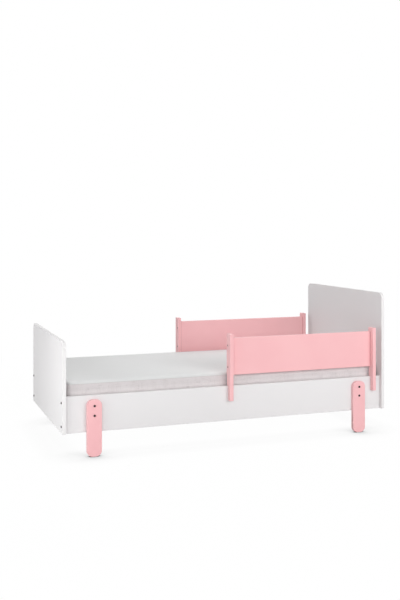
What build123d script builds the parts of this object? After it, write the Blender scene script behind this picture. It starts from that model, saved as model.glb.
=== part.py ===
from build123d import *
import os

# A child's bed for a 160 x 70 cm mattress: white boards, pink plank legs and two pink guard rails.
# Millimetres. X runs from the foot end to the head end, the front faces -Y, and Z = 0 is the floor.

# Frame of white boards
BOARD = 16.0
INNER_LENGTH = 1610.0
INNER_WIDTH = 714.0
SETBACK = 18.0  # the side panels' outer faces stand this far behind the end boards' edges
FLOOR_GAP = 108.0
PANEL_HEIGHT = 164.0
FOOTBOARD_HEIGHT = 411.0
HEADBOARD_HEIGHT = 585.0
TOP_CORNER_RADIUS = 32.0
BOARD_EDGE_RADIUS = 1.0

# Plank legs
LEG_WIDTH = 68.0
LEG_HEIGHT = 254.0
LEG_END_RADIUS = 26.0
LEG_EDGE_RADIUS = 2.5
LEG_FROM_BOARD = 128.5  # leg's middle from the end board's inner face
LEG_BOLT_HEIGHTS = (183.0, 226.5)

# Guard rails
GUARD_LENGTH = 794.0
GUARD_HEAD_GAP = 35.0
GUARD_BOARD_BOTTOM = 323.0
GUARD_BOARD_HEIGHT = 176.0
POST_WIDTH = 18.0
POST_DEPTH = 45.0
POST_OVERHANG = 5.5  # past the panel's inner face, above the plate
POST_BOTTOM = 203.5
POST_TOP = 518.5
POST_EDGE_RADIUS = 2.5
GUARD_SLIP = 0.3  # room between a hooked-on guard and its panel
GUARD_SCREW_SPACING = 103.0
PLATE_THICKNESS = 3.0
PLATE_WIDTH = 16.0
PLATE_BOTTOM = 212.0
PLATE_TOP = 322.0
PLATE_END_RADIUS = 6.0
PLATE_SCREW_HEIGHTS = (286.0, 308.0)

# Bolts, inserts, barrel nuts and dowels
BOLT_DIAMETER = 6.0
BOLT_HOLE = 6.6
BOLT_HEAD_DIAMETER = 10.5
BOLT_HEAD_HEIGHT = 3.3
BOLT_HEAD_EDGE_RADIUS = 2.2
HEX_SOCKET_RADIUS = 2.3
HEX_SOCKET_DEPTH = 2.0
THREAD_BORE = 6.1
CORNER_BOLT_HEIGHTS = (31.0, 137.0)  # above the panel's bottom edge
CORNER_BOLT_REACH = 42.0  # into the panel's end
BARREL_NUT_DIAMETER = 10.0
BARREL_NUT_LENGTH = 12.0
BARREL_NUT_FROM_END = 30.0
DOWEL_DIAMETER = 8.0
DOWEL_IN_BOARD = 11.0
DOWEL_IN_PANEL = 20.0
DOWEL_HEIGHT = 84.0
INSERT_DIAMETER = 10.0
INSERT_LENGTH = 13.0
HOLE_SLACK = 0.2  # on a diameter
HOLE_SPARE = 1.0  # past the tip in a blind hole

# Wood screws with countersunk heads, and the longer ones through the guard posts
SCREW_DIAMETER = 4.0
SCREW_HEAD_DIAMETER = 8.0
SCREW_CROSS_WIDTH = 1.0
SCREW_CROSS_LENGTH = 4.4
SCREW_CROSS_DEPTH = 1.6
BATTEN_SCREW_LENGTH = 35.0
SLAT_SCREW_LENGTH = 30.0
PLATE_SCREW_LENGTH = 16.0
PLATE_SCREW_HEAD = 7.0
POST_SCREW_LENGTH = 46.0
POST_SCREW_DIAMETER = 5.0
POST_SCREW_SEAT = 4.0
COUNTERBORE = 11.0

# Slatted base
BATTEN_DEPTH = 25.0
BATTEN_HEIGHT = 30.0
BATTEN_END_GAP = 2.0
BATTEN_SCREWS = 6
BATTEN_SCREW_SPAN = 1480.0
SLATS = 14
SLAT_WIDTH = 60.0
SLAT_THICKNESS = 15.0
SLAT_LENGTH = 700.0
SLAT_END_GAP = 8.0
SLAT_TOP = 223.0
SLAT_SCREW_FROM_END = 9.0
WOOD_EDGE_RADIUS = 1.5
STRAP_WIDTH = 25.0
STRAP_THICKNESS = 1.2
STRAP_FROM_MIDDLE = 190.0
STRAP_END = 12.0  # past the outer slats' middles
STAPLE_CROWN = 10.0
STAPLE_WIRE = 0.8
STAPLE_LEG = 8.0

# Mattress, as (height above the slats, inset from the full outline) from the bottom up
MATTRESS_LENGTH = 1600.0
MATTRESS_WIDTH = 700.0
MATTRESS_CORNER_RADIUS = 32.0
MATTRESS_SIDE_DRAW_IN = 2.0
MATTRESS_RINGS = (
    (0, 11), (4, 4), (12, 0.5), (24, 0), (54, 1), (92, 0), (102, 2), (109, 6), (113, 14), (116, 150),
)
MATTRESS_CORNER_TAKE = 0.15  # how much of a ring's inset comes off its corner radius
COVER_THICKNESS = 3.0
CORE_SLACK = 0.3

# Planes that the pieces share
BOARD_IN = INNER_LENGTH / 2
BOARD_OUT = BOARD_IN + BOARD
PANEL_IN = INNER_WIDTH / 2
PANEL_OUT = PANEL_IN + BOARD
PANEL_MIDDLE = PANEL_IN + BOARD / 2
EDGE = PANEL_OUT + SETBACK
PANEL_TOP = FLOOR_GAP + PANEL_HEIGHT
SLAT_BOTTOM = SLAT_TOP - SLAT_THICKNESS
BATTEN_IN = PANEL_IN - BATTEN_DEPTH
BATTEN_BOTTOM = SLAT_BOTTOM - BATTEN_HEIGHT
STRAP_BOTTOM = SLAT_BOTTOM - STRAP_THICKNESS
GUARD_HEAD = BOARD_IN - GUARD_HEAD_GAP
GUARD_FOOT = GUARD_HEAD - GUARD_LENGTH
POST_BACK = PANEL_IN - GUARD_SLIP
POST_IN = PANEL_IN - POST_OVERHANG
POST_OUT = POST_IN + POST_DEPTH
GUARD_BOARD_MIDDLE = GUARD_BOARD_BOTTOM + GUARD_BOARD_HEIGHT / 2
GUARD_SCREW_HEIGHTS = [GUARD_BOARD_MIDDLE + half * GUARD_SCREW_SPACING / 2 for half in (-1, 1)]

# Fixing places that several pieces repeat
LEG_MIDDLE = BOARD_IN - LEG_FROM_BOARD
END_SIGNS = {"foot_end": -1, "head_end": 1}
SIDE_SIGNS = {"front": -1, "back": 1}
BATTEN_SCREW_XS = [BATTEN_SCREW_SPAN * (i / (BATTEN_SCREWS - 1) - 0.5) for i in range(BATTEN_SCREWS)]
BATTEN_SCREW_Z = BATTEN_BOTTOM + BATTEN_HEIGHT / 2
FIRST_SLAT = BOARD_IN - SLAT_END_GAP - SLAT_WIDTH / 2
SLAT_XS = [FIRST_SLAT * (2 * i / (SLATS - 1) - 1) for i in range(SLATS)]
SLAT_SCREW_Y = SLAT_LENGTH / 2 - SLAT_SCREW_FROM_END

# Hole diameters
DOWEL_HOLE = DOWEL_DIAMETER + HOLE_SLACK
INSERT_HOLE = INSERT_DIAMETER + HOLE_SLACK
BARREL_NUT_HOLE = BARREL_NUT_DIAMETER + HOLE_SLACK
SCREW_HOLE = SCREW_DIAMETER + HOLE_SLACK
POST_SCREW_HOLE = POST_SCREW_DIAMETER + HOLE_SLACK


def block(x, y, z):
    """A box between two values on each axis."""
    middle = [(low + high) / 2 for low, high in (x, y, z)]
    return Pos(*middle) * Box(*[high - low for low, high in (x, y, z)])


def peg(start, along, diameter, length):
    """A round pin from a point, along a direction."""
    rod = Cylinder(diameter / 2, length, align=(Align.CENTER, Align.CENTER, Align.MIN))
    return Plane(origin=start, z_dir=along) * rod


def step(start, along, distance):
    """The point that lies a distance along a direction."""
    return tuple(s + a * distance for s, a in zip(start, along))


def socket_bolt(seat, along, shank_diameter, shank_length):
    """A bolt whose low round head sits on a seat, with a hexagon socket in the head."""
    back = tuple(-a for a in along)
    head = peg(seat, back, BOLT_HEAD_DIAMETER, BOLT_HEAD_HEIGHT)
    rim = head.edges().filter_by(GeomType.CIRCLE).sort_by(Axis(seat, back))[-1]
    head = fillet(rim, BOLT_HEAD_EDGE_RADIUS)
    top = Plane(origin=step(seat, back, BOLT_HEAD_HEIGHT), z_dir=along)
    head -= extrude(top * RegularPolygon(HEX_SOCKET_RADIUS, 6), HEX_SOCKET_DEPTH)
    return head + peg(seat, along, shank_diameter, shank_length)


def countersink(face, along, head_diameter, shank_diameter):
    """The cone that a countersunk head fills, with its wide end at the face."""
    depth = (head_diameter - shank_diameter) / 2
    cone = Cone(head_diameter / 2, shank_diameter / 2, depth, align=(Align.CENTER, Align.CENTER, Align.MIN))
    return Plane(origin=face, z_dir=along) * cone


def wood_screw(face, along, head_diameter, length):
    """A countersunk screw, flush with the face, with a cross recess in its head."""
    screw = countersink(face, along, head_diameter, SCREW_DIAMETER)
    screw += peg(face, along, SCREW_DIAMETER, length)
    bar = Rectangle(SCREW_CROSS_LENGTH, SCREW_CROSS_WIDTH)
    cross = Plane(origin=face, z_dir=along) * (bar + Rot(0, 0, 90) * bar)
    return screw - extrude(cross, SCREW_CROSS_DEPTH)


def screw_hole(face, along, head_diameter, length):
    """The hole for a wood screw, a little wider than its shank."""
    return countersink(face, along, head_diameter, SCREW_DIAMETER) + peg(face, along, SCREW_HOLE, length)


def corner_places():
    """Each panel end: the end's sign, the side's sign and the direction into the panel."""
    return [(end, side, (-end, 0, 0)) for end in END_SIGNS.values() for side in SIDE_SIGNS.values()]


def leg_bolt_places(side):
    """The middles of one side's leg bolts on the leg's outer face."""
    return [(end * LEG_MIDDLE, side * EDGE, z) for end in END_SIGNS.values() for z in LEG_BOLT_HEIGHTS]


def make_end_board(end, height):
    """Footboard or headboard: rounded top corners, bolt holes and blind holes for the dowels."""
    outline = Pos(0, height / 2) * Rectangle(2 * EDGE, height)
    outline = fillet(outline.vertices().group_by(Axis.Y)[-1], TOP_CORNER_RADIUS)
    board = extrude(Plane((0, 0, FLOOR_GAP), x_dir=(0, 1, 0), z_dir=(1, 0, 0)) * outline, BOARD)
    faces = board.faces().sort_by(Axis.X)
    board = fillet(faces[0].edges() + faces[-1].edges(), BOARD_EDGE_RADIUS)
    board = Pos(BOARD_IN if end > 0 else -BOARD_OUT, 0, 0) * board
    inward = (-end, 0, 0)
    for side in SIDE_SIGNS.values():
        for z in CORNER_BOLT_HEIGHTS:
            face = (end * BOARD_OUT, side * PANEL_MIDDLE, FLOOR_GAP + z)
            board -= peg(face, inward, BOLT_HOLE, BOARD)
        dowel = (end * BOARD_IN, side * PANEL_MIDDLE, FLOOR_GAP + DOWEL_HEIGHT)
        board -= peg(dowel, (end, 0, 0), DOWEL_HOLE, DOWEL_IN_BOARD)
    return board


def make_side_panel(side):
    """Side panel: bolt, dowel and barrel nut holes at its ends, insert holes and batten screw holes."""
    middle = side * PANEL_MIDDLE
    panel = block((-BOARD_IN, BOARD_IN), (middle - BOARD / 2, middle + BOARD / 2), (FLOOR_GAP, PANEL_TOP))
    panel = fillet(panel.edges().filter_by(Axis.X), BOARD_EDGE_RADIUS)
    for end in END_SIGNS.values():
        inward = (-end, 0, 0)
        for z in CORNER_BOLT_HEIGHTS:
            bolt = (end * BOARD_IN, middle, FLOOR_GAP + z)
            panel -= peg(bolt, inward, BOLT_HOLE, CORNER_BOLT_REACH + HOLE_SPARE)
            nut = (end * (BOARD_IN - BARREL_NUT_FROM_END), side * PANEL_IN, FLOOR_GAP + z)
            panel -= peg(nut, (0, side, 0), BARREL_NUT_HOLE, BOARD / 2 + BARREL_NUT_LENGTH / 2)
        dowel = (end * BOARD_IN, middle, FLOOR_GAP + DOWEL_HEIGHT)
        panel -= peg(dowel, inward, DOWEL_HOLE, DOWEL_IN_PANEL + HOLE_SPARE)
    for x, _, z in leg_bolt_places(side):
        panel -= peg((x, side * PANEL_OUT, z), (0, -side, 0), INSERT_HOLE, INSERT_LENGTH)
    for x in BATTEN_SCREW_XS:
        entry = (x, side * PANEL_IN, BATTEN_SCREW_Z)
        panel -= peg(entry, (0, side, 0), SCREW_HOLE, BATTEN_SCREW_LENGTH - BATTEN_DEPTH)
    return panel


def make_leg(side, end):
    """Plank leg with rounded ends, flat on the panel's outer face, with two bolt holes."""
    outline = RectangleRounded(LEG_WIDTH, LEG_HEIGHT, LEG_END_RADIUS)
    plane = Plane((end * LEG_MIDDLE, side * PANEL_OUT, LEG_HEIGHT / 2), x_dir=(1, 0, 0), z_dir=(0, side, 0))
    leg = extrude(plane * outline, SETBACK)
    outer = leg.faces().sort_by(Axis.Y)[0 if side < 0 else -1]
    leg = fillet(outer.edges(), LEG_EDGE_RADIUS)
    for z in LEG_BOLT_HEIGHTS:
        face = (end * LEG_MIDDLE, side * EDGE, z)
        leg -= peg(face, (0, -side, 0), BOLT_HOLE, SETBACK)
    return leg


def make_leg_bolts():
    """Bolts through the legs, each ending inside its threaded insert."""
    reach = SETBACK + INSERT_LENGTH - HOLE_SPARE
    bolts = []
    for side in SIDE_SIGNS.values():
        for face in leg_bolt_places(side):
            bolts.append(socket_bolt(face, (0, -side, 0), BOLT_DIAMETER, reach))
    return Compound(children=bolts)


def make_leg_inserts():
    """Threaded inserts, flush with the panels' outer faces behind the legs."""
    inserts = []
    for side in SIDE_SIGNS.values():
        inward = (0, -side, 0)
        for x, _, z in leg_bolt_places(side):
            mouth = (x, side * PANEL_OUT, z)
            tube = peg(mouth, inward, INSERT_DIAMETER, INSERT_LENGTH)
            inserts.append(tube - peg(mouth, inward, THREAD_BORE, INSERT_LENGTH))
    return Compound(children=inserts)


def make_corner_bolts():
    """Bolts through the end boards into the side panels' ends."""
    reach = BOARD + CORNER_BOLT_REACH
    bolts = []
    for end, side, inward in corner_places():
        for z in CORNER_BOLT_HEIGHTS:
            face = (end * BOARD_OUT, side * PANEL_MIDDLE, FLOOR_GAP + z)
            bolts.append(socket_bolt(face, inward, BOLT_DIAMETER, reach))
    return Compound(children=bolts)


def make_corner_barrel_nuts():
    """Cross dowels in the panels' inner faces, with the bolt's thread across them."""
    nuts = []
    for end, side, inward in corner_places():
        for z in CORNER_BOLT_HEIGHTS:
            x = end * (BOARD_IN - BARREL_NUT_FROM_END)
            start = (x, side * (PANEL_MIDDLE - BARREL_NUT_LENGTH / 2), FLOOR_GAP + z)
            nut = peg(start, (0, side, 0), BARREL_NUT_DIAMETER, BARREL_NUT_LENGTH)
            mouth = (x + end * BARREL_NUT_DIAMETER, side * PANEL_MIDDLE, FLOOR_GAP + z)
            nuts.append(nut - peg(mouth, inward, THREAD_BORE, 2 * BARREL_NUT_DIAMETER))
    return Compound(children=nuts)


def make_corner_dowels():
    """Wooden pegs between the end boards and the panels' ends."""
    dowels = []
    for end, side, inward in corner_places():
        start = (end * (BOARD_IN + DOWEL_IN_BOARD), side * PANEL_MIDDLE, FLOOR_GAP + DOWEL_HEIGHT)
        dowels.append(peg(start, inward, DOWEL_DIAMETER, DOWEL_IN_BOARD + DOWEL_IN_PANEL))
    return Compound(children=dowels)


def make_slat_batten(side):
    """Rail on a panel's inner face, with countersunk screw holes and pilot holes for the end slats."""
    ys = sorted((side * BATTEN_IN, side * PANEL_IN))
    half = BOARD_IN - BATTEN_END_GAP
    batten = block((-half, half), ys, (BATTEN_BOTTOM, SLAT_BOTTOM))
    batten = fillet(batten.edges().filter_by(Axis.X), WOOD_EDGE_RADIUS)
    for x in BATTEN_SCREW_XS:
        face = (x, side * BATTEN_IN, BATTEN_SCREW_Z)
        batten -= screw_hole(face, (0, side, 0), SCREW_HEAD_DIAMETER, BATTEN_DEPTH)
    for end in END_SIGNS.values():
        top = (end * FIRST_SLAT, side * SLAT_SCREW_Y, SLAT_BOTTOM)
        batten -= peg(top, (0, 0, -1), SCREW_HOLE, SLAT_SCREW_LENGTH - SLAT_THICKNESS)
    return batten


def make_batten_screws():
    screws = []
    for side in SIDE_SIGNS.values():
        for x in BATTEN_SCREW_XS:
            face = (x, side * BATTEN_IN, BATTEN_SCREW_Z)
            screws.append(wood_screw(face, (0, side, 0), SCREW_HEAD_DIAMETER, BATTEN_SCREW_LENGTH))
    return Compound(children=screws)


def staple_places(x):
    """The staples that hold the two straps to the slat at x."""
    return [(x, side * STRAP_FROM_MIDDLE) for side in SIDE_SIGNS.values()]


def make_staple(x, y, grow=0.0):
    """One staple under a strap, its legs up into the slat; grow widens it into the slots it needs."""
    half = STAPLE_CROWN / 2
    wire = STAPLE_WIRE / 2 + grow
    crown_bottom = STRAP_BOTTOM - STAPLE_WIRE
    staple = block((x - wire, x + wire), (y - half - grow, y + half + grow), (crown_bottom, STRAP_BOTTOM))
    for leg in (-1, 1):
        middle = y + leg * (half - STAPLE_WIRE / 2)
        rise = (crown_bottom, SLAT_BOTTOM + STAPLE_LEG)
        staple += block((x - wire, x + wire), (middle - wire, middle + wire), rise)
    return staple


def make_slat(index):
    """One slat, with the staples' slots and, on the two end slats, countersunk screw holes."""
    x = SLAT_XS[index]
    half = SLAT_LENGTH / 2
    slat = block((x - SLAT_WIDTH / 2, x + SLAT_WIDTH / 2), (-half, half), (SLAT_BOTTOM, SLAT_TOP))
    slat = fillet(slat.edges().filter_by(Axis.Y), WOOD_EDGE_RADIUS)
    for place in staple_places(x):
        slat -= make_staple(*place, grow=HOLE_SLACK)
    if index in (0, SLATS - 1):
        for side in SIDE_SIGNS.values():
            face = (x, side * SLAT_SCREW_Y, SLAT_TOP)
            slat -= screw_hole(face, (0, 0, -1), SCREW_HEAD_DIAMETER, SLAT_THICKNESS)
    return slat


def make_end_slat_screws():
    screws = []
    for end in END_SIGNS.values():
        for side in SIDE_SIGNS.values():
            face = (end * FIRST_SLAT, side * SLAT_SCREW_Y, SLAT_TOP)
            screws.append(wood_screw(face, (0, 0, -1), SCREW_HEAD_DIAMETER, SLAT_SCREW_LENGTH))
    return Compound(children=screws)


def make_slat_strap(side):
    """Webbing under the slats, slotted where the staples pass."""
    y = side * STRAP_FROM_MIDDLE
    end = FIRST_SLAT + STRAP_END
    strap = block((-end, end), (y - STRAP_WIDTH / 2, y + STRAP_WIDTH / 2), (STRAP_BOTTOM, SLAT_BOTTOM))
    for x in SLAT_XS:
        strap -= make_staple(x, y, grow=HOLE_SLACK)
    return strap


def make_strap_staples():
    return Compound(children=[make_staple(*place) for x in SLAT_XS for place in staple_places(x)])


def guard_post_span(end):
    """The post's two faces along the bed, foot side first."""
    if end < 0:
        return GUARD_FOOT, GUARD_FOOT + POST_WIDTH
    return GUARD_HEAD - POST_WIDTH, GUARD_HEAD


def guard_screw_faces(side, end):
    """Where the screws enter the outer side of one post."""
    x = GUARD_FOOT if end < 0 else GUARD_HEAD
    return [(x, side * PANEL_MIDDLE, z) for z in GUARD_SCREW_HEIGHTS]


def plate_screw_faces(side, end):
    """Where the screws enter the inner face of one post's plate."""
    low, high = guard_post_span(end)
    return [((low + high) / 2, side * (POST_BACK - PLATE_THICKNESS), z) for z in PLATE_SCREW_HEIGHTS]


def make_guard_post(side, end):
    """Post notched to sit on the panel's top edge: a tongue goes down the panel's outer face, and the plate
    lies in a recess in the back."""
    low, high = guard_post_span(end)
    tongue_back = PANEL_OUT + GUARD_SLIP
    profile = make_face(Polyline(
        (POST_OUT, POST_BOTTOM), (POST_OUT, POST_TOP), (POST_IN, POST_TOP), (POST_IN, GUARD_BOARD_BOTTOM),
        (POST_BACK, GUARD_BOARD_BOTTOM), (POST_BACK, PANEL_TOP), (tongue_back, PANEL_TOP),
        (tongue_back, POST_BOTTOM), close=True))
    post = extrude(Plane((low, 0, 0), x_dir=(0, 1, 0), z_dir=(1, 0, 0)) * profile, high - low)
    rounded = post.faces().sort_by(Axis.Y)[-1].edges()
    for face in (post.faces().sort_by(Axis.Z)[-1], post.faces().sort_by(Axis.Y)[0]):
        rounded += [edge for edge in face.edges() if edge not in rounded]
    post = fillet(rounded, POST_EDGE_RADIUS)
    if side < 0:
        post = mirror(post, Plane.XZ)
    inward = (-end, 0, 0)
    for face in guard_screw_faces(side, end):
        post -= peg(face, inward, COUNTERBORE, POST_SCREW_SEAT)
        post -= peg(face, inward, POST_SCREW_HOLE, POST_WIDTH)
    for x, _, z in plate_screw_faces(side, end):
        depth = PLATE_SCREW_LENGTH - PLATE_THICKNESS
        post -= peg((x, side * POST_BACK, z), (0, side, 0), SCREW_HOLE, depth)
    return post


def make_guard_board(side):
    """Board between the posts, with screw holes in its ends."""
    low = guard_post_span(-1)[1]
    high = guard_post_span(1)[0]
    ys = sorted((side * PANEL_IN, side * PANEL_OUT))
    board = block((low, high), ys, (GUARD_BOARD_BOTTOM, GUARD_BOARD_BOTTOM + GUARD_BOARD_HEIGHT))
    board = fillet(board.edges().filter_by(Axis.X), POST_EDGE_RADIUS)
    depth = POST_SCREW_SEAT + POST_SCREW_LENGTH - POST_WIDTH
    for end, x in ((-1, low), (1, high)):
        for z in GUARD_SCREW_HEIGHTS:
            board -= peg((x, side * PANEL_MIDDLE, z), (-end, 0, 0), POST_SCREW_HOLE, depth)
    return board


def make_guard_screws(side):
    screws = []
    for end in END_SIGNS.values():
        inward = (-end, 0, 0)
        for face in guard_screw_faces(side, end):
            seat = step(face, inward, POST_SCREW_SEAT)
            screws.append(socket_bolt(seat, inward, POST_SCREW_DIAMETER, POST_SCREW_LENGTH))
    return Compound(children=screws)


def make_guard_plate(side, end):
    """Steel plate behind a post, reaching down between the panel and the mattress."""
    low, high = guard_post_span(end)
    middle_z = (PLATE_BOTTOM + PLATE_TOP) / 2
    outline = RectangleRounded(PLATE_WIDTH, PLATE_TOP - PLATE_BOTTOM, PLATE_END_RADIUS)
    plane = Plane(((low + high) / 2, side * POST_BACK, middle_z), x_dir=(1, 0, 0), z_dir=(0, -side, 0))
    plate = extrude(plane * outline, PLATE_THICKNESS)
    for face in plate_screw_faces(side, end):
        plate -= screw_hole(face, (0, side, 0), PLATE_SCREW_HEAD, PLATE_THICKNESS)
    return plate


def make_guard_plate_screws(side):
    screws = []
    for end in END_SIGNS.values():
        for face in plate_screw_faces(side, end):
            screws.append(wood_screw(face, (0, side, 0), PLATE_SCREW_HEAD, PLATE_SCREW_LENGTH))
    return Compound(children=screws)


def mattress_ring(height, inset, corner_radius):
    """One level outline of the mattress: round corners, and sides that draw in between them."""
    x = MATTRESS_LENGTH / 2 - inset
    y = MATTRESS_WIDTH / 2 - inset
    r = corner_radius
    bulge = r * (1 - 0.5 ** 0.5)
    edges = []
    for sx, sy in ((1, 1), (-1, 1), (-1, -1), (1, -1)):
        along_x = (sx * (x - r), sy * y)
        along_y = (sx * x, sy * (y - r))
        first, last = (along_y, along_x) if sx * sy > 0 else (along_x, along_y)
        edges.append(ThreePointArc(first, (sx * (x - bulge), sy * (y - bulge)), last))
        if sx * sy > 0:
            edges.append(ThreePointArc(last, (0, sy * (y - MATTRESS_SIDE_DRAW_IN)), (-last[0], last[1])))
        else:
            edges.append(ThreePointArc(last, (sx * (x - MATTRESS_SIDE_DRAW_IN), 0), (last[0], -last[1])))
    return Pos(0, 0, SLAT_TOP + height) * make_face(edges)


def make_mattress_form(shrink, lift):
    """The crowned mattress, drawn in by a distance all round and lifted off the slats."""
    full = MATTRESS_RINGS[-1][0]
    rings = []
    for height, inset in MATTRESS_RINGS:
        corner = MATTRESS_CORNER_RADIUS - MATTRESS_CORNER_TAKE * inset - shrink
        rings.append(mattress_ring(lift + height * (full - lift - shrink) / full, inset + shrink, corner))
    return loft(rings, ruled=True)


def make_mattress_cover():
    return make_mattress_form(0, 0) - make_mattress_form(COVER_THICKNESS, COVER_THICKNESS)


def make_mattress_core():
    return make_mattress_form(COVER_THICKNESS + CORE_SLACK, COVER_THICKNESS)


parts = {
    "footboard": make_end_board(-1, FOOTBOARD_HEIGHT),
    "headboard": make_end_board(1, HEADBOARD_HEIGHT),
    "leg_bolts": make_leg_bolts(),
    "leg_inserts": make_leg_inserts(),
    "corner_bolts": make_corner_bolts(),
    "corner_barrel_nuts": make_corner_barrel_nuts(),
    "corner_dowels": make_corner_dowels(),
    "batten_screws": make_batten_screws(),
    "end_slat_screws": make_end_slat_screws(),
    "strap_staples": make_strap_staples(),
    "mattress_cover": make_mattress_cover(),
    "mattress_core": make_mattress_core(),
}
for index in range(SLATS):
    parts[f"slat_{index + 1:02d}"] = make_slat(index)
for side_name, side in SIDE_SIGNS.items():
    parts[f"{side_name}_side_panel"] = make_side_panel(side)
    parts[f"{side_name}_slat_batten"] = make_slat_batten(side)
    parts[f"{side_name}_slat_strap"] = make_slat_strap(side)
    parts[f"{side_name}_guard_board"] = make_guard_board(side)
    parts[f"{side_name}_guard_screws"] = make_guard_screws(side)
    parts[f"{side_name}_guard_plate_screws"] = make_guard_plate_screws(side)
    for end_name, end in END_SIGNS.items():
        short_name = end_name.removesuffix("_end")
        parts[f"{side_name}_leg_{end_name}"] = make_leg(side, end)
        parts[f"{side_name}_guard_{short_name}_post"] = make_guard_post(side, end)
        parts[f"{side_name}_guard_{short_name}_plate"] = make_guard_plate(side, end)

os.makedirs("parts", exist_ok=True)
for node, shape in parts.items():
    export_step(shape, f"parts/{node}.step")
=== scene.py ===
import math

import bpy
import numpy as np
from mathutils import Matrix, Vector


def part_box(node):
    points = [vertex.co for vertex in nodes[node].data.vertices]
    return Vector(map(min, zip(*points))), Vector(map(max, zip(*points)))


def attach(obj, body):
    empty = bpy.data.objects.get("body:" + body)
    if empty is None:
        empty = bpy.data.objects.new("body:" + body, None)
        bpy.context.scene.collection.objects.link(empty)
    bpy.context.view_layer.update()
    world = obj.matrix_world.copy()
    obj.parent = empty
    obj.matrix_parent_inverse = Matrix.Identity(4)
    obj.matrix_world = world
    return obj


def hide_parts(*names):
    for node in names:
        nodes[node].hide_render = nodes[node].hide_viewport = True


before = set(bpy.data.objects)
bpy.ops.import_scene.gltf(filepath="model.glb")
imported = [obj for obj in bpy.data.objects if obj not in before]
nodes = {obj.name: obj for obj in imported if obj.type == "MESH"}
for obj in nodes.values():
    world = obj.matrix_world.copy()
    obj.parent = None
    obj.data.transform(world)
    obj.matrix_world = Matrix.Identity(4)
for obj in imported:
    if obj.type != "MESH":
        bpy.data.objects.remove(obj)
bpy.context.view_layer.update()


# Footboard, headboard and side panels: 16 mm chipboard faced with white melamine paper, pressed to a fine
# pebble. A 1 mm plastic band, glued on, closes the sawn edges and leaves a hairline joint beside them.
class Wire:
    """An output of a shader node. Sums on wires and numbers add the Math nodes that they need."""

    def __init__(self, socket):
        self.socket = socket

    def node(self, kind, settings, sockets, output=0):
        """Adds a node beside this one: first its settings, then a value or a link for each socket."""
        tree = self.socket.id_data
        made = tree.nodes.new(kind)
        for name, value in settings.items():
            setattr(made, name, value)
        for name, value in sockets.items():
            if isinstance(value, Wire):
                tree.links.new(value.socket, made.inputs[name])
            else:
                made.inputs[name].default_value = value
        return Wire(made.outputs[output])

    def math(self, operation, *values):
        return self.node("ShaderNodeMath", {"operation": operation}, dict(enumerate(values)))

    def __add__(self, other):
        return self.math("ADD", self, other)

    def __sub__(self, other):
        return self.math("SUBTRACT", self, other)

    def __rsub__(self, other):
        return self.math("SUBTRACT", other, self)

    def __mul__(self, other):
        return self.math("MULTIPLY", self, other)

    def __truediv__(self, other):
        return self.math("DIVIDE", self, other)

    def __rtruediv__(self, other):
        return self.math("DIVIDE", other, self)

    def __pow__(self, other):
        return self.math("POWER", self, other)

    def __abs__(self):
        return self.math("ABSOLUTE", self)

    __radd__ = __add__
    __rmul__ = __mul__

    def least(self, other):
        return self.math("MINIMUM", self, other)

    def most(self, other):
        return self.math("MAXIMUM", self, other)

    def sine(self):
        return self.math("SINE", self)

    def rise(self, low, high):
        """0 below low, 1 above high, and a smooth step between them; the other way round if low is larger."""
        return self.node(
            "ShaderNodeMapRange", {"interpolation_type": "SMOOTHSTEP"},
            {"Value": self, "From Min": low, "From Max": high})

    def axes(self):
        """The three numbers of a place."""
        return [self.node("ShaderNodeSeparateXYZ", {}, {0: self}, axis) for axis in "XYZ"]

    def stretched(self, *scales):
        """The place with each axis multiplied, so that a texture on it is that much finer there."""
        return self.node("ShaderNodeVectorMath", {"operation": "MULTIPLY"}, {0: self, 1: scales})

    def noise(self, scale, detail=2.0, roughness=0.5):
        """Cloudy noise on a place, from 0 to 1, about 1 / scale metres from cloud to cloud."""
        return self.node(
            "ShaderNodeTexNoise", {},
            {"Vector": self, "Scale": scale, "Detail": detail, "Roughness": roughness})

    def between(self, first, second):
        """The first colour where this wire is 0 and the second where it is 1."""
        ends = [c if isinstance(c, Wire) else (*c, 1) for c in (first, second)]
        return self.node(
            "ShaderNodeMix", {"data_type": "RGBA"}, {0: self, 6: ends[0], 7: ends[1]}, 2)

    def bump(self, distance, strength=1.0):
        """A normal tilted by this wire as a height, in units of distance."""
        return self.node(
            "ShaderNodeBump", {}, {"Height": self, "Distance": distance, "Strength": strength})


def new_finish(name, constants):
    """An empty material: itself, its shader with the constants set, and the place on the object."""
    material = bpy.data.materials.new(name)
    material.use_nodes = True
    shader = material.node_tree.nodes["Principled BSDF"]
    for socket, value in constants.items():
        shader.inputs[socket].default_value = value
    coordinates = material.node_tree.nodes.new("ShaderNodeTexCoord")
    return material, shader, Wire(coordinates.outputs["Object"])


def feed(shader, wires):
    """Joins each named socket of a shader to its wire."""
    for name, wire in wires.items():
        shader.id_data.links.new(wire.socket, shader.inputs[name])


def dress(finish, names):
    """Gives CAD nodes a finish in place of the plain one they came with."""
    for name in names:
        for slot in nodes[name].material_slots:
            slot.material = finish


def depth_inside(along, up, half, low, high, corner):
    """How far a point lies inside a rounded rectangle, from its two distances past the corners' middles: the
    corner radius, less the length of what is positive in them, less the larger where both are negative."""
    past_side = abs(along) - (half - corner)
    past_end = abs(up - (low + high) / 2) - ((high - low) / 2 - corner)
    outside = (past_side.most(0.0) ** 2 + past_end.most(0.0) ** 2) ** 0.5
    return corner - outside - past_side.most(past_end).least(0.0)


WHITE_FACE = (0.757, 0.745, 0.750)
WHITE_FACE_DULL = (0.738, 0.726, 0.731)
WHITE_BAND = (0.766, 0.756, 0.757)
JOINT_LINE = (0.56, 0.55, 0.54)
BAND_THICKNESS = 0.0010


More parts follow.
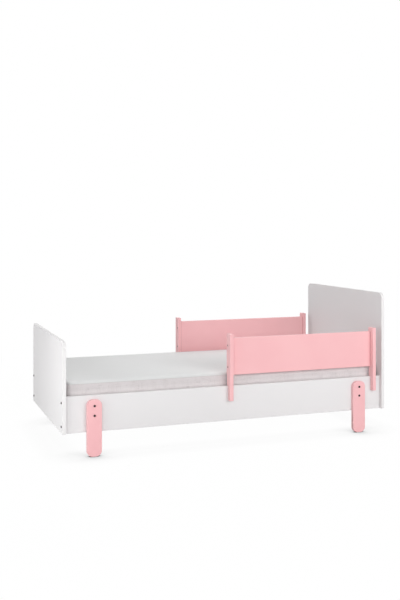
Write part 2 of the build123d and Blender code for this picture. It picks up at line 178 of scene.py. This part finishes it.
def white_laminate(name, along_axis, half, low, high, corner):
    """Melamine face with its edge band: the depth inside the board's outline tells face, joint and band."""
    material, shader, place = new_finish(name, {"IOR": 1.48})
    x, y, z = place.axes()
    along = x if along_axis == "X" else y
    square_end = z - low
    depth = depth_inside(along, z, half, 2 * low - high, high, corner).least(square_end)
    clouds = place.noise(3.0, 3.0)
    smudges = place.noise(11.0, 4.0, 0.6).rise(0.45, 0.75)
    joint = abs(depth - BAND_THICKNESS).rise(0.00030, 0.00012)
    face = depth.rise(BAND_THICKNESS * 0.5, BAND_THICKNESS * 0.7)
    colour = clouds.rise(0.3, 0.7).between(WHITE_FACE_DULL, WHITE_FACE)
    colour = face.between(WHITE_BAND, colour)
    colour = (joint * 0.3).between(colour, JOINT_LINE)
    pebble = place.noise(1300.0, 2.0) * face + place.noise(420.0) * 0.6
    feed(shader, {
        "Base Color": colour,
        "Roughness": 0.46 + clouds * 0.08 - smudges * 0.06 - (1 - face) * 0.08,
        "Normal": (pebble - joint * 1.5).bump(0.00005, 0.5),
    })
    return material


HALF_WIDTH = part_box("footboard")[1].y
BOARD_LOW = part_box("footboard")[0].z
TOP_CORNER = 0.032
for name in ("footboard", "headboard"):
    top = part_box(name)[1].z
    dress(white_laminate(name + "_laminate", "Y", HALF_WIDTH, BOARD_LOW, top, TOP_CORNER), [name])
PANEL_HALF_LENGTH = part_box("front_side_panel")[1].x
PANEL_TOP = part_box("front_side_panel")[1].z
PANEL_END_COVER = 0.01  # the panels' ends are hidden by the end boards, so no band is drawn there
panel_laminate = white_laminate(
    "panel_laminate", "X", PANEL_HALF_LENGTH + PANEL_END_COVER, BOARD_LOW, PANEL_TOP, 0.0)
dress(panel_laminate, ["front_side_panel", "back_side_panel"])


# Corner fittings: turned beech dowels glued into the boards, and blackened button-head bolts that pull up on
# zinc barrel nuts. The legs' threaded inserts are the same zinc-plated steel, screwed into the panels.
def beech():
    """Straight pale fibres along the dowel, crossed by short dark ray flecks."""
    material, shader, place = new_finish("beech", {})
    fibres = place.stretched(40.0, 1500.0, 1500.0).noise(1.0, 3.0)
    flecks = place.stretched(300.0, 2500.0, 900.0).noise(1.0, 1.0).rise(0.62, 0.72)
    colour = fibres.between((0.66, 0.44, 0.27), (0.55, 0.34, 0.19))
    feed(shader, {
        "Base Color": (flecks * 0.6).between(colour, (0.36, 0.20, 0.10)),
        "Roughness": 0.55 + fibres * 0.15,
        "Normal": fibres.bump(0.0001, 0.4),
    })
    return material


def plated_steel(name, bright, dull, rough, metal, gloss):
    """Metal with a cloudy plated skin and fine tumbling scratches that lie in all directions."""
    material, shader, place = new_finish(name, {"Specular IOR Level": gloss})
    clouds = place.noise(260.0, 4.0, 0.6)
    scratches = place.stretched(900.0, 5200.0, 2400.0).noise(1.0, 2.0)
    grains = place.noise(2600.0, 2.0)
    feed(shader, {
        "Base Color": (clouds * 0.7 + grains * 0.3).between(dull, bright),
        "Metallic": metal + clouds * 0.12,
        "Roughness": rough + (scratches - 0.5) * 0.22 + (clouds - 0.5) * 0.12,
        "Normal": (scratches * 0.6 + grains * 0.4).bump(0.00004, 0.6),
    })
    return material


zinc = plated_steel("zinc_plate", (0.70, 0.71, 0.73), (0.52, 0.53, 0.54), 0.34, 0.86, 0.5)
black_steel = plated_steel("black_oxide", (0.050, 0.040, 0.039), (0.020, 0.016, 0.016), 0.60, 0.40, 0.15)
dress(beech(), ["corner_dowels"])
dress(zinc, ["corner_barrel_nuts", "leg_inserts"])
dress(black_steel, ["corner_bolts"])


# Legs: round-ended planks sprayed with satin pink lacquer, with the outer edges eased. Each lies flat on the
# panel's outer face, and two blackened button-head bolts hold it.
PINK = (0.866, 0.489, 0.505)
PINK_DEEP = (0.850, 0.465, 0.484)
PINK_THIN = (0.883, 0.554, 0.565)
PINK_JOINT_AND_SHADE = (0.46, 0.20, 0.21)
LEG_CORNER = 0.026


def pink_lacquer(name, middle, half, low, high, corner, joint=None):
    """Sprayed lacquer: soft clouds, an orange-peel ripple, a few dust nibs, and a paler skin on the edges.
    Ends that butt on another piece have instead a darker line of the joint's width: a dark joint, with
    painted shade in it."""
    material, shader, place = new_finish(name, {"IOR": 1.42})
    x, y, z = place.axes()
    run_on = 0.02 if joint else 0.0  # an end with a joint has no edge of its own
    depth = depth_inside(x - middle, z, half + run_on, low, high, corner)
    clouds = place.noise(5.0, 3.0)
    peel = place.noise(330.0, 2.0)
    nibs = place.node("ShaderNodeTexVoronoi", {}, {"Vector": place, "Scale": 130.0}).rise(0.09, 0.02)
    edge = depth.rise(0.0030, 0.0004)
    colour = clouds.rise(0.3, 0.7).between(PINK_DEEP, PINK)
    colour = (edge * 0.45).between(colour, PINK_THIN)
    if joint:
        # Darker pink at the board's ends, where they meet the posts: a dark joint line, partly painted shade
        # in the joint.
        colour = (abs(x - middle).rise(half - joint, half) * 0.75).between(colour, PINK_JOINT_AND_SHADE)
    feed(shader, {
        "Base Color": colour,
        "Roughness": 0.60 + (clouds - 0.5) * 0.10 + (peel - 0.5) * 0.08 - edge * 0.05,
        "Normal": (peel + nibs * 0.5).bump(0.00009, 0.4),
    })
    return material


for end in ("foot_end", "head_end"):
    low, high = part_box("front_leg_" + end)
    finish = pink_lacquer(
        end + "_leg_lacquer", (low.x + high.x) / 2, (high.x - low.x) / 2, low.z, high.z, LEG_CORNER)
    dress(finish, ["front_leg_" + end, "back_leg_" + end])
dress(black_steel, ["leg_bolts"])


# Slatted base: planed pine battens screwed along the panels' inner faces, and fourteen pine slats across
# them. The first and the last slat are screwed down with zinc countersunk screws.
SAPWOOD = (0.74, 0.56, 0.36)
LATEWOOD = (0.57, 0.36, 0.18)
KNOT = (0.26, 0.13, 0.06)
RING_SPACING = 0.0075


def pine(name, grain_axis):
    """Growth rings as a sine of the distance across the grain, bent by slow noise and by the knots, over fine
    fibres that run along it."""
    material, shader, place = new_finish(name, {"IOR": 1.45})
    x, y, z = place.axes()
    across = y if grain_axis == "X" else x
    slow = (1.6, 16.0, 16.0) if grain_axis == "X" else (16.0, 1.6, 16.0)
    fine = (24.0, 1100.0, 1100.0) if grain_axis == "X" else (1100.0, 24.0, 1100.0)
    knots = (2.0, 15.0, 3.0) if grain_axis == "X" else (15.0, 2.0, 3.0)
    bend = place.stretched(*slow).noise(1.0, 2.0)
    spread = place.node("ShaderNodeTexVoronoi", {}, {"Vector": place.stretched(*knots), "Scale": 1.0})
    knot = spread.rise(0.13, 0.07)
    turn = (across + z * 0.6) / RING_SPACING + bend * 7.0 + spread.rise(0.5, 0.05) * 2.5
    ring = ((turn * (2 * math.pi)).sine() * 0.5 + 0.5) ** 2.5
    fibres = place.stretched(*fine).noise(1.0, 3.0)
    colour = (ring * 0.75 + fibres * 0.25).between(SAPWOOD, LATEWOOD)
    feed(shader, {
        "Base Color": knot.between(colour, KNOT),
        "Roughness": 0.62 - ring * 0.12 + (fibres - 0.5) * 0.15,
        "Normal": (fibres * 0.7 - ring * 0.3).bump(0.00015, 0.5),
    })
    return material


slats = [name for name in nodes if name[:5] == "slat_"]
dress(pine("pine_slats", "Y"), slats)
dress(pine("pine_battens", "X"), ["front_slat_batten", "back_slat_batten"])
dress(zinc, ["batten_screws", "end_slat_screws"])


# Slat straps: two 25 mm bands of woven webbing under the slats, which keep them apart. A wire staple holds
# each slat, and between the slats the band hangs a little slack.
def lattice_box(counts):
    """The six sides of a box of cells: each side is a grid on its two other axes, and equal corners are one
    point. Gives each point's three cell numbers, the faces, and the axis that each face looks along."""
    sides, looks = [], []
    for axis in range(3):
        first, second = (axis + 1) % 3, (axis + 2) % 3
        i, j = np.meshgrid(np.arange(counts[first]), np.arange(counts[second]), indexing="ij")
        inward, outward = ((0, 0), (0, 1), (1, 1), (1, 0)), ((0, 0), (1, 0), (1, 1), (0, 1))
        for end, turns in ((0, inward), (counts[axis], outward)):
            corners = np.full((*i.shape, 4, 3), end)
            corners[..., first] = i[..., None] + np.array(turns)[:, 0]
            corners[..., second] = j[..., None] + np.array(turns)[:, 1]
            sides.append(corners.reshape(-1, 4, 3))
            looks.append(np.full(i.size, axis))
    cells, index = np.unique(np.concatenate(sides).reshape(-1, 3), axis=0, return_inverse=True)
    return cells, index.reshape(-1, 4), np.concatenate(looks)


def new_piece(name, points, faces, finish, body):
    """A smooth mesh from arrays of points and faces, with its finish, riding on a body."""
    mesh = bpy.data.meshes.new(name)
    mesh.from_pydata(points, [], faces, shade_flat=False)
    mesh.materials.append(finish)
    piece = bpy.data.objects.new(name, mesh)
    bpy.context.scene.collection.objects.link(piece)
    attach(piece, body)
    return piece


RIB_PITCH = 0.0021
PICK_PITCH = 0.0017


def webbing():
    """Plain weave: warp ribs along the band go over and under the picks across it, in turn."""
    material, shader, place = new_finish("webbing_weave", {"Sheen Weight": 0.15})
    x, y, z = place.axes()
    rib = (y * (math.pi / RIB_PITCH)).sine()
    pick = (x * (math.pi / PICK_PITCH)).sine()
    over = rib * pick
    fuzz = place.stretched(900.0, 2600.0, 900.0).noise(1.0, 3.0)
    height = over * 0.5 + abs(rib) * 0.3 + fuzz * 0.3
    # The colour follows the weave's height: painted shade in its hollows, over the fibres' own tone.
    colour = (height * 0.8 + 0.2).between((0.47, 0.46, 0.44), (0.72, 0.71, 0.68))
    feed(shader, {
        "Base Color": colour,
        "Roughness": 0.72 + fuzz * 0.2,
        "Normal": height.bump(0.0003, 0.7),
    })
    return material


STRAP_SLACK = 0.0016
STRAP_CELLS = (13 * 12 + 6, 8, 2)


def slat_strap(node, finish):
    """A band along X: it hangs by a raised cosine between slat middles, and its two edges thin by a quarter
    circle."""
    low, high = (np.array(corner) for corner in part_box(node))
    cells, faces, _ = lattice_box(STRAP_CELLS)
    share = cells / np.array(STRAP_CELLS)
    points = low + (high - low) * share
    first = (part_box("slat_01")[0].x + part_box("slat_01")[1].x) / 2
    pitch = -2 * first / (len(slats) - 1)
    swing = 0.5 - 0.5 * np.cos(2 * np.pi * (points[:, 0] - first) / pitch)
    rim = np.sqrt(np.clip(1 - (2 * share[:, 1] - 1) ** 8, 0.09, 1))
    middle = (low[2] + high[2]) / 2
    points[:, 2] = middle + (points[:, 2] - middle) * rim
    points[:, 2] -= STRAP_SLACK * swing ** 2 * (np.abs(points[:, 0]) < -first)
    strap = new_piece(node + "_webbing", points, faces, finish, "frame")
    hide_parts(node)


strap_finish = webbing()
for side in ("front", "back"):
    slat_strap(side + "_slat_strap", strap_finish)
dress(zinc, ["strap_staples"])


# Guard rails: a pink lacquered board between two posts, screwed through the posts. Each post is notched over
# the panel, with a tongue outside and a thin zinc plate inside, so the whole guard lifts off.
POST_CORNER = 0.0025
BOARD_JOINT_AND_SHADE_WIDTH = 0.005

for end in ("foot", "head"):
    low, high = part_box(f"front_guard_{end}_post")
    finish = pink_lacquer(
        end + "_post_lacquer", (low.x + high.x) / 2, (high.x - low.x) / 2, low.z, high.z, POST_CORNER)
    dress(finish, [f"{side}_guard_{end}_post" for side in ("front", "back")])
    dress(zinc, [f"{side}_guard_{end}_plate" for side in ("front", "back")])
low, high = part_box("front_guard_board")
finish = pink_lacquer(
    "guard_board_lacquer", (low.x + high.x) / 2, (high.x - low.x) / 2, low.z, high.z, 0.0, BOARD_JOINT_AND_SHADE_WIDTH)
dress(finish, ["front_guard_board", "back_guard_board"])
bare_steel = plated_steel("bare_steel", (0.20, 0.19, 0.19), (0.13, 0.12, 0.12), 0.50, 0.50, 0.3)
dress(bare_steel, ["front_guard_screws", "back_guard_screws"])
dress(zinc, ["front_guard_plate_screws", "back_guard_plate_screws"])


# Mattress: a foam block in a zip-off cover. A smooth pale panel at the top and the bottom is sewn to a border
# of heather cloth, and the seams draw in. It lies loose on the slats, and lifts out.
MATTRESS_LOW, MATTRESS_HIGH = (np.array(corner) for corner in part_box("mattress_cover"))
MATTRESS_MIDDLE = (MATTRESS_LOW + MATTRESS_HIGH) / 2
SWELL_ROOM = 0.002
MATTRESS_HALF = (MATTRESS_HIGH - MATTRESS_LOW) / 2 - SWELL_ROOM
SEAM_LEVELS = (0.018, 0.0965)
BORDER_LEVELS = np.array([0, 5, 11, 15, 18, 21, 29, 41, 55, 69, 81, 88, 93, 96.5, 100, 105, 111.5]) / 1000
EDGE_STEPS = np.array([0, 4, 9, 15, 23]) / 1000
PANEL_CELLS = (124, 50)
EDGE_ROUND = 0.014
PLAN_CORNER = 0.034
SEAM_DRAW_IN = 0.0025
SEAM_WIDTH = 0.0025
BORDER_SWELL = 0.0015
SIDE_DRAW_IN = 0.0015
TOP_CROWN = 0.0025


def panel_steps(half, count):
    """Places across a panel: small steps at both edges, and equal ones between them."""
    inner = np.linspace(-1, 1, count + 1) * (half - EDGE_STEPS[-1])
    return np.concatenate([EDGE_STEPS[:-1] - half, inner, half - EDGE_STEPS[-2::-1]])


def quarter_round(first, second):
    """A square's corner made round: each share times the root of one less half the other's square."""
    return first * np.sqrt(1 - second ** 2 / 2), second * np.sqrt(1 - first ** 2 / 2)


def mattress_points(cells, grid):
    """A box whose edges, then plan corners, are made round. The border swells by a parabola between its
    seams, and each seam draws in by a bell. The sides draw in between the corners by a parabola, and the top
    is crowned by two."""
    points = np.stack([steps[cells[:, axis]] for axis, steps in enumerate(grid)], axis=1)
    level = points[:, 2].copy()
    rise = (2 * level - SEAM_LEVELS[0] - SEAM_LEVELS[1]) / (SEAM_LEVELS[1] - SEAM_LEVELS[0])
    swell = BORDER_SWELL * np.clip(1 - rise ** 2, 0, 1)
    for seam in SEAM_LEVELS:
        swell -= SEAM_DRAW_IN * np.exp(-((level - seam) / SEAM_WIDTH) ** 2)
    half = MATTRESS_HALF[:2] + swell[:, None]
    points[:, :2] *= half / MATTRESS_HALF[:2]
    inset = np.minimum((half - np.abs(points[:, :2])).min(axis=1), EDGE_ROUND)
    drop = np.minimum(np.minimum(level, BORDER_LEVELS[-1] - level), EDGE_ROUND)
    edge, face = quarter_round(1 - inset / EDGE_ROUND, 1 - drop / EDGE_ROUND)
    points[:, :2] *= (half - EDGE_ROUND * (1 - edge[:, None])) / (half - inset[:, None])
    upper = np.where(rise > 0, 1, -1)
    points[:, 2] += upper * (drop - EDGE_ROUND * (1 - face))
    corner = np.clip(1 - (half - np.abs(points[:, :2])) / PLAN_CORNER, 0, 1)
    rounded = np.stack(quarter_round(corner[:, 0], corner[:, 1]), axis=1)
    rounded = np.sign(points[:, :2]) * (half - PLAN_CORNER + PLAN_CORNER * rounded)
    points[:, :2] = np.where((corner > 0).all(axis=1, keepdims=True), rounded, points[:, :2])
    bow = 1 - np.clip(np.abs(points[:, :2]) / half, 0, 1) ** 2
    points[:, :2] -= SIDE_DRAW_IN * np.sign(points[:, :2]) * bow[:, ::-1] * (1 - bow)
    points[:, 2] += np.where(rise > 0, TOP_CROWN * bow[:, 0] * bow[:, 1], 0)
    return points + np.array([*MATTRESS_MIDDLE[:2], MATTRESS_LOW[2]])


THREAD_PITCH = 0.0014
PUCKER_PITCH = 0.013
PANEL_PALE = (0.766, 0.772, 0.770)
PANEL_GREY = (0.738, 0.744, 0.742)
HEATHER_PALE = (0.690, 0.652, 0.656)
HEATHER_MID = (0.640, 0.600, 0.605)
HEATHER_DARK = (0.550, 0.510, 0.515)
SEAM_THREAD = (0.48, 0.45, 0.45)


def mattress_cloth():
    """Plain weave on the cloth's own map, in metres: warp and weft pass over in turn. On the border each
    thread mixes pale and darker fibres, which come out as streaks along it; the panels are one pale yarn.
    Both pucker beside the seams, in ripples across them. The panels are painted greyer towards the seams,
    over
    the rounded edge: painted shade. The border is a little darker, and painted paler along its middle:
    painted light where the side panel's top edge shades it."""
    material, shader, place = new_finish(
        "mattress_cloth", {"Sheen Weight": 0.10, "Sheen Roughness": 0.5, "IOR": 1.4})
    x, y, z = place.axes()
    from_top_seam = z - float(MATTRESS_LOW[2] + SEAM_LEVELS[1])
    from_low_seam = z - float(MATTRESS_LOW[2] + SEAM_LEVELS[0])
    border = from_top_seam.rise(0.0006, -0.0006) * from_low_seam.rise(-0.0006, 0.0006)
    off_seam = abs(from_top_seam).least(abs(from_low_seam))
    cloth = place.node("ShaderNodeUVMap", {"uv_map": "cloth"}, {})
    u, v, _ = cloth.axes()
    warp = (u * (math.pi / THREAD_PITCH)).sine()
    weft = (v * (math.pi / THREAD_PITCH)).sine()
    over = warp * weft
    warp_streaks = cloth.stretched(420.0, 26.0, 0.0).noise(1.0, 3.0)
    weft_streaks = cloth.stretched(26.0, 420.0, 0.0).noise(1.0, 3.0)
    heather = over.rise(-0.4, 0.4) * (warp_streaks - weft_streaks) + weft_streaks
    slubs = cloth.stretched(38.0, 150.0, 0.0).noise(1.0, 2.0).rise(0.60, 0.74) * border
    mottle = cloth.stretched(1.0, 1.0, 0.0).noise(16.0, 3.0)
    tone = heather * 0.75 + mottle * 0.35 - 0.05 - slubs * 0.12
    heathered = tone.rise(0.42, 0.70).between(HEATHER_MID, HEATHER_PALE)
    heathered = tone.rise(0.46, 0.34).between(heathered, HEATHER_DARK)
    # The panels' colour is partly paler where the weave rises: painted shade in the weave's hollows.
    plain = (over * 0.2 + heather * 0.5 + mottle * 0.3).rise(0.2, 0.8).between(PANEL_GREY, PANEL_PALE)
    colour = border.between(plain, heathered)
    # Painted shade: the panels greyer over their rounded edge near the seams. Painted light: the border paler
    # along its middle, beside the side panel's top edge; the rest of the border a little darker.
    painted_edge_shade = off_seam.rise(0.020, 0.001) * (1 - border)
    painted_border_light = abs(from_low_seam - (SEAM_LEVELS[1] - SEAM_LEVELS[0]) / 2).rise(0.018, 0.0) * border
    painted_light_tint = 1 - painted_edge_shade * 0.12 - border * 0.04 + painted_border_light * 0.15
    colour = colour.node("ShaderNodeVectorMath", {"operation": "SCALE"}, {0: colour, "Scale": painted_light_tint})
    colour = (off_seam.rise(0.0012, 0.0005) * 0.6).between(colour, SEAM_THREAD)
    ripples = ((x + y) * (2 * math.pi / PUCKER_PITCH) + mottle * 9.0).sine() * off_seam.rise(0.014, 0.0015)
    height = over * 0.35 + heather * (border * 0.3 + 0.1) + slubs * 0.5 + ripples * 0.7
    feed(shader, {
        "Base Color": colour,
        "Roughness": 0.82 + (heather - 0.5) * 0.2,
        "Normal": height.bump(0.0004, 0.5),
    })
    return material


def fill_out(piece, held, room, pressure=4.0, frames=20):
    """Cloth inflated from inside with no gravity; a point then keeps its way but not more than the room, by
    the hyperbolic tangent of the distance."""
    group = piece.vertex_groups.new(name="held")
    for share in np.unique(held[held > 0]):
        group.add(np.flatnonzero(held == share).tolist(), float(share), "REPLACE")
    cloth = piece.modifiers.new("fill", "CLOTH")
    cloth.settings.use_pressure = True
    cloth.settings.uniform_pressure_force = pressure
    cloth.settings.vertex_group_mass = "held"
    cloth.settings.effector_weights.gravity = 0
    cloth.collision_settings.use_collision = False
    rest = np.empty(len(piece.data.vertices) * 3, np.float32)
    piece.data.vertices.foreach_get("co", rest)
    for step in range(1, frames + 1):
        bpy.context.scene.frame_set(step)
    moved = np.empty_like(rest)
    piece.evaluated_get(bpy.context.evaluated_depsgraph_get()).data.vertices.foreach_get("co", moved)
    way = (moved - rest).reshape(-1, 3)
    length = np.linalg.norm(way, axis=1, keepdims=True)
    way *= room * np.tanh(length / room) / np.maximum(length, 1e-9)
    piece.modifiers.remove(cloth)
    bpy.context.scene.frame_set(1)
    piece.data.vertices.foreach_set("co", rest + way.ravel())
    piece.data.update()


mattress_grid = [*(panel_steps(h, n) for h, n in zip(MATTRESS_HALF, PANEL_CELLS)), BORDER_LEVELS]
cells, faces, looks = lattice_box([len(steps) - 1 for steps in mattress_grid])
mattress_rest = mattress_points(cells, mattress_grid)
mattress = new_piece("mattress", mattress_rest, faces, mattress_cloth(), "mattress")
cloth_map = mattress.data.uv_layers.new(name="cloth")
flat_axes = np.array([[1, 2], [0, 2], [0, 1]])[looks]
corner_places = mattress_rest[faces]
map_places = np.take_along_axis(corner_places, flat_axes[:, None, :].repeat(4, axis=1), axis=2)
cloth_map.data.foreach_set("uv", map_places.astype(np.float32).ravel())
on_seam = np.isin(BORDER_LEVELS, SEAM_LEVELS)[cells[:, 2]]
held = np.where(cells[:, 2] == 0, 1.0, np.where(on_seam, 0.8, 0.0))
fill_out(mattress, held, SWELL_ROOM)
rounding = mattress.modifiers.new("rounding", "SUBSURF")
rounding.levels = rounding.render_levels = 1
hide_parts("mattress_cover", "mattress_core")


# Studio: a white floor that keeps the contact shadows, a white background, soft lamps at the front and both
# sides, weaker ones above and behind, and low ones beside the footboard, the headboard and the back panel.
CONTACT_REACH = 0.15
SHADOW_AREA = (1.3, 2.6)  # the floor's own shade fades between these distances from the bed's middle


def floor_finish():
    """White to the camera, to gloss and to glass, darker where something stands close above it; a plain
    white surface to all other light."""
    material = bpy.data.materials.new("studio_floor")
    material.use_nodes = True
    tree = material.node_tree
    tree.nodes.remove(tree.nodes["Principled BSDF"])
    rays = tree.nodes.new("ShaderNodeLightPath")
    seen = Wire(rays.outputs["Is Camera Ray"]).most(Wire(rays.outputs["Is Glossy Ray"]))
    seen = seen.most(Wire(rays.outputs["Is Transmission Ray"]))
    nearness = seen.node("ShaderNodeAmbientOcclusion", {"samples": 16}, {"Distance": CONTACT_REACH}, "AO")
    place = Wire(tree.nodes.new("ShaderNodeTexCoord").outputs["Object"])
    away = place.node("ShaderNodeVectorMath", {"operation": "LENGTH"}, {0: place}, "Value")
    shade = 1 - (1 - nearness) ** 1.7 * 1.65
    white = shade.node("ShaderNodeCombineColor", {}, {0: shade, 1: shade, 2: shade})
    glow = seen.node("ShaderNodeEmission", {}, {"Color": white, "Strength": 1.0})
    plain = seen.node("ShaderNodeBsdfDiffuse", {}, {"Color": (0.8, 0.8, 0.8, 1)})
    surface = seen.node(
        "ShaderNodeMixShader", {}, {0: seen * (1 - away.rise(*SHADOW_AREA[::-1]) * 0.01), 1: plain, 2: glow})
    tree.links.new(surface.socket, tree.nodes["Material Output"].inputs["Surface"])
    return material


floor_mesh = bpy.data.meshes.new("floor")
floor_mesh.from_pydata(np.array([[-40, -40, 0], [40, -40, 0], [40, 40, 0], [-40, 40, 0]]), [], [[0, 1, 2, 3]])
floor_mesh.materials.append(floor_finish())
floor = bpy.data.objects.new("floor", floor_mesh)
bpy.context.scene.collection.objects.link(floor)

AMBIENT = 0.2
world = bpy.data.worlds.new("studio")
bpy.context.scene.world = world
world.use_nodes = True
background = world.node_tree.nodes["Background"]
rays = world.node_tree.nodes.new("ShaderNodeLightPath")
seen = Wire(rays.outputs["Is Camera Ray"]).most(Wire(rays.outputs["Is Glossy Ray"]))
seen = seen.most(Wire(rays.outputs["Is Transmission Ray"]))
background.inputs["Color"].default_value = (1, 1, 1, 1)
world.node_tree.links.new((seen * (1 - AMBIENT) + AMBIENT).socket, background.inputs["Strength"])


def softbox(name, place, aim, width, height, watts):
    """A square lamp at a place, turned to face a point, and not itself in view."""
    lamp = bpy.data.lights.new(name, "AREA")
    lamp.shape = "RECTANGLE"
    lamp.size, lamp.size_y = width, height
    lamp.energy = watts
    box = bpy.data.objects.new(name, lamp)
    bpy.context.scene.collection.objects.link(box)
    box.location = place
    box.rotation_euler = (Vector(aim) - Vector(place)).to_track_quat("-Z", "Y").to_euler()
    box.visible_camera = False


softbox("front_lamp", (0.9, -3.2, 1.5), (0.3, 0.0, 0.35), 1.5, 1.5, 34)
softbox("front_left_lamp", (-2.6, -4.0, 2.2), (0.0, 0.0, 0.3), 1.5, 1.5, 48)
softbox("front_right_lamp", (2.4, -3.8, 1.4), (0.5, 0.0, 0.3), 1.5, 1.5, 32)
softbox("foot_lamp", (-1.5, -0.7, 0.42), (-0.82, -0.25, 0.33), 0.5, 0.4, 2.8)
softbox("low_left_lamp", (-2.6, 0.0, 0.45), (-0.82, 0.0, 0.35), 0.7, 0.5, 2.0)
softbox("far_left_lamp", (-4.5, 0.5, 2.4), (0.4, 0.0, 0.4), 1.5, 1.5, 42)
softbox("head_lamp", (2.6, 0.0, 0.5), (0.82, 0.0, 0.4), 0.6, 0.4, 12)
softbox("low_back_lamp", (1.2, 2.8, 0.35), (0.0, 0.37, 0.3), 0.6, 0.3, 13)
softbox("top_lamp", (0.2, -0.3, 3.2), (0.0, 0.0, 0.0), 3.0, 2.0, 22)
softbox("back_lamp", (0.4, 1.8, 2.8), (0.0, 0.0, 0.3), 3.0, 1.5, 32)

camera = bpy.data.objects.new("camera", bpy.data.cameras.new("camera"))
bpy.context.scene.collection.objects.link(camera)
camera.location = (-1.55548, -4.05788, 1.03131)
camera.rotation_euler = (math.radians(90), 0, math.radians(-19.351))
camera.data.sensor_width = 36
camera.data.lens = 50.397
camera.data.shift_x = 0.03158
camera.data.shift_y = -0.12356
bpy.context.scene.camera = camera
bpy.context.scene.view_settings.view_transform = "Standard"
